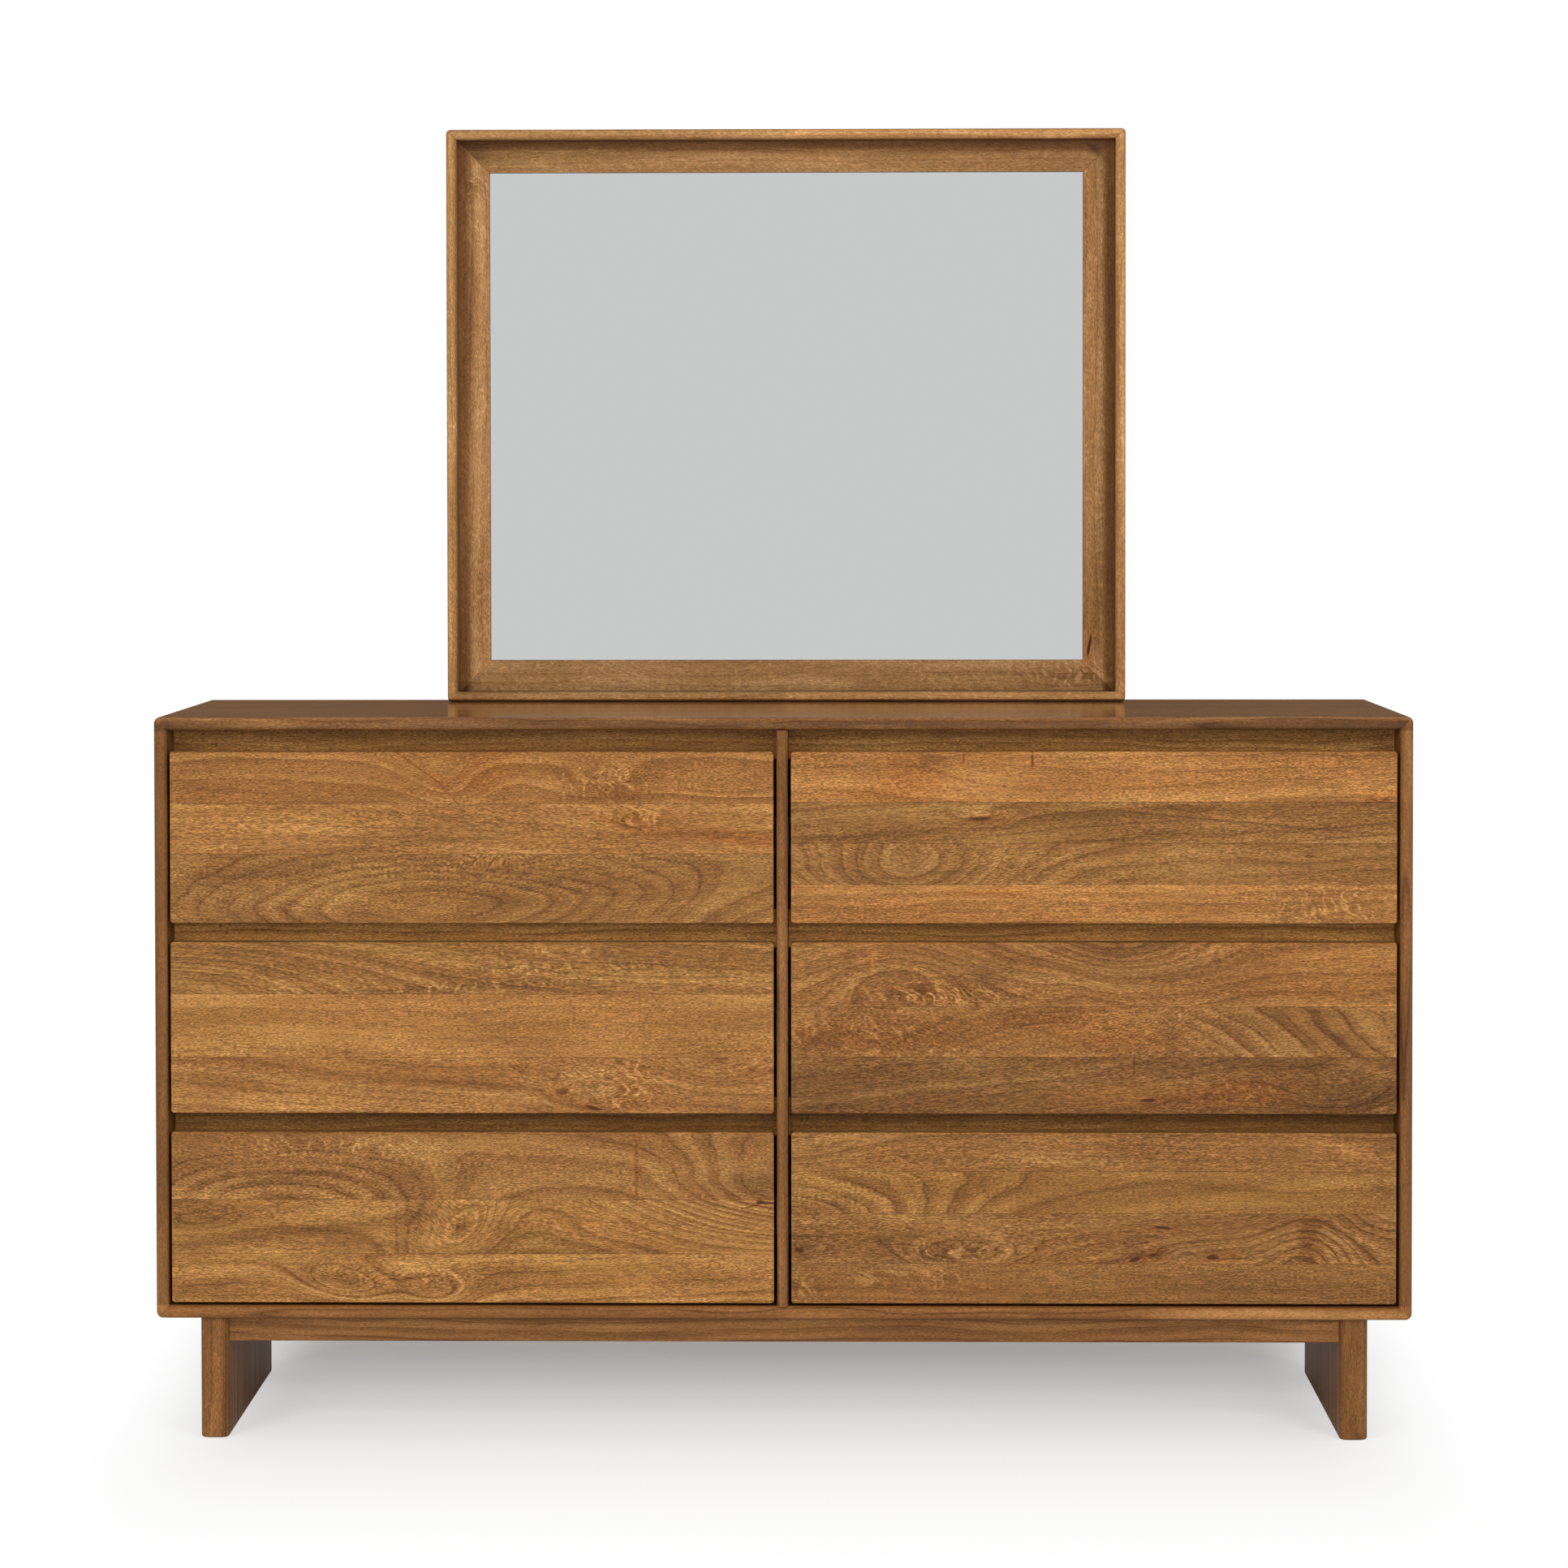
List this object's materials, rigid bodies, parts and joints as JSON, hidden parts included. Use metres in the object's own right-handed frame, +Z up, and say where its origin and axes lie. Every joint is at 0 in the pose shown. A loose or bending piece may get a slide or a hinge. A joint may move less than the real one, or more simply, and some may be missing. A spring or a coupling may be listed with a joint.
{
  "type": "dresser with mirror",
  "caption": "Low wide wooden dresser on two slab legs, with handle-free drawers in two columns pulled by finger gaps, and a framed mirror standing on its top.",
  "frame": {"origin": "on the floor, under the middle of the bounding box of the whole object", "axes": "+X to the right as one faces the drawers, +Y to the back, +Z up"},
  "size_m": [1.524, 0.477, 1.622],
  "materials": {
    "case_wood": "satin lacquer over brown-stained mango wood",
    "front_wood": "satin lacquer over honey-brown mango wood planks",
    "mirror_wood": "satin lacquer over brown mango wood",
    "box_wood": "clear sealed pale hardwood",
    "support_wood": "matt stained hardwood",
    "panel_board": "matt plywood",
    "mirror_glass": "silvered float glass",
    "runner_steel": "black zinc-plated cold-rolled steel",
    "screw_steel": "zinc-plated screws"
  },
  "bodies": {
    "carcass": {"case_top": "case_wood", "case_bottom": "case_wood", "case_side_left": "case_wood", "case_side_right": "case_wood", "centre_divider": "case_wood", "back_panel": "panel_board", "top_rails": "case_wood", "finger_rails": "case_wood", "rear_rails": "support_wood", "leg_left": "case_wood", "leg_right": "case_wood", "front_apron": "case_wood", "rear_apron": "case_wood", "cabinet_runners": "runner_steel", "mirror_frame_top": "mirror_wood", "mirror_frame_bottom": "mirror_wood", "mirror_frame_left": "mirror_wood", "mirror_frame_right": "mirror_wood", "mirror_liner_rails": "mirror_wood", "mirror_liner_stiles": "mirror_wood", "mirror_glass": "mirror_glass", "mirror_backing": "panel_board", "mirror_supports": "support_wood", "support_screws": "screw_steel"},
    "drawer_left_top": {"drawer_front_left_top": "front_wood", "box_sides_left_top": "box_wood", "box_ends_left_top": "box_wood", "box_bottom_left_top": "panel_board", "drawer_runners_left_top": "runner_steel"},
    "runner_left_top": {"middle_runners_left_top": "runner_steel"},
    "drawer_left_middle": {"drawer_front_left_middle": "front_wood", "box_sides_left_middle": "box_wood", "box_ends_left_middle": "box_wood", "box_bottom_left_middle": "panel_board", "drawer_runners_left_middle": "runner_steel"},
    "runner_left_middle": {"middle_runners_left_middle": "runner_steel"},
    "drawer_left_bottom": {"drawer_front_left_bottom": "front_wood", "box_sides_left_bottom": "box_wood", "box_ends_left_bottom": "box_wood", "box_bottom_left_bottom": "panel_board", "drawer_runners_left_bottom": "runner_steel"},
    "runner_left_bottom": {"middle_runners_left_bottom": "runner_steel"},
    "drawer_right_top": {"drawer_front_right_top": "front_wood", "box_sides_right_top": "box_wood", "box_ends_right_top": "box_wood", "box_bottom_right_top": "panel_board", "drawer_runners_right_top": "runner_steel"},
    "runner_right_top": {"middle_runners_right_top": "runner_steel"},
    "drawer_right_middle": {"drawer_front_right_middle": "front_wood", "box_sides_right_middle": "box_wood", "box_ends_right_middle": "box_wood", "box_bottom_right_middle": "panel_board", "drawer_runners_right_middle": "runner_steel"},
    "runner_right_middle": {"middle_runners_right_middle": "runner_steel"},
    "drawer_right_bottom": {"drawer_front_right_bottom": "front_wood", "box_sides_right_bottom": "box_wood", "box_ends_right_bottom": "box_wood", "box_bottom_right_bottom": "panel_board", "drawer_runners_right_bottom": "runner_steel"},
    "runner_right_bottom": {"middle_runners_right_bottom": "runner_steel"}
  },
  "joints": [
    {"name": "drawer_left_top_slide", "type": "slide", "parent": "carcass", "child": "drawer_left_top", "axis": [0, -1, 0], "range_m": [0, 0.38]},
    {"name": "runner_left_top_slide", "type": "slide", "parent": "carcass", "child": "runner_left_top", "axis": [0, -1, 0], "range_m": [0, 0.19]},
    {"name": "drawer_left_middle_slide", "type": "slide", "parent": "carcass", "child": "drawer_left_middle", "axis": [0, -1, 0], "range_m": [0, 0.38]},
    {"name": "runner_left_middle_slide", "type": "slide", "parent": "carcass", "child": "runner_left_middle", "axis": [0, -1, 0], "range_m": [0, 0.19]},
    {"name": "drawer_left_bottom_slide", "type": "slide", "parent": "carcass", "child": "drawer_left_bottom", "axis": [0, -1, 0], "range_m": [0, 0.38]},
    {"name": "runner_left_bottom_slide", "type": "slide", "parent": "carcass", "child": "runner_left_bottom", "axis": [0, -1, 0], "range_m": [0, 0.19]},
    {"name": "drawer_right_top_slide", "type": "slide", "parent": "carcass", "child": "drawer_right_top", "axis": [0, -1, 0], "range_m": [0, 0.38]},
    {"name": "runner_right_top_slide", "type": "slide", "parent": "carcass", "child": "runner_right_top", "axis": [0, -1, 0], "range_m": [0, 0.19]},
    {"name": "drawer_right_middle_slide", "type": "slide", "parent": "carcass", "child": "drawer_right_middle", "axis": [0, -1, 0], "range_m": [0, 0.38]},
    {"name": "runner_right_middle_slide", "type": "slide", "parent": "carcass", "child": "runner_right_middle", "axis": [0, -1, 0], "range_m": [0, 0.19]},
    {"name": "drawer_right_bottom_slide", "type": "slide", "parent": "carcass", "child": "drawer_right_bottom", "axis": [0, -1, 0], "range_m": [0, 0.38]},
    {"name": "runner_right_bottom_slide", "type": "slide", "parent": "carcass", "child": "runner_right_bottom", "axis": [0, -1, 0], "range_m": [0, 0.19]}
  ],
  "couplings": [
    {"joint": "runner_left_top_slide", "follows": "drawer_left_top_slide", "ratio": 0.5},
    {"joint": "runner_left_middle_slide", "follows": "drawer_left_middle_slide", "ratio": 0.5},
    {"joint": "runner_left_bottom_slide", "follows": "drawer_left_bottom_slide", "ratio": 0.5},
    {"joint": "runner_right_top_slide", "follows": "drawer_right_top_slide", "ratio": 0.5},
    {"joint": "runner_right_middle_slide", "follows": "drawer_right_middle_slide", "ratio": 0.5},
    {"joint": "runner_right_bottom_slide", "follows": "drawer_right_bottom_slide", "ratio": 0.5}
  ]
}
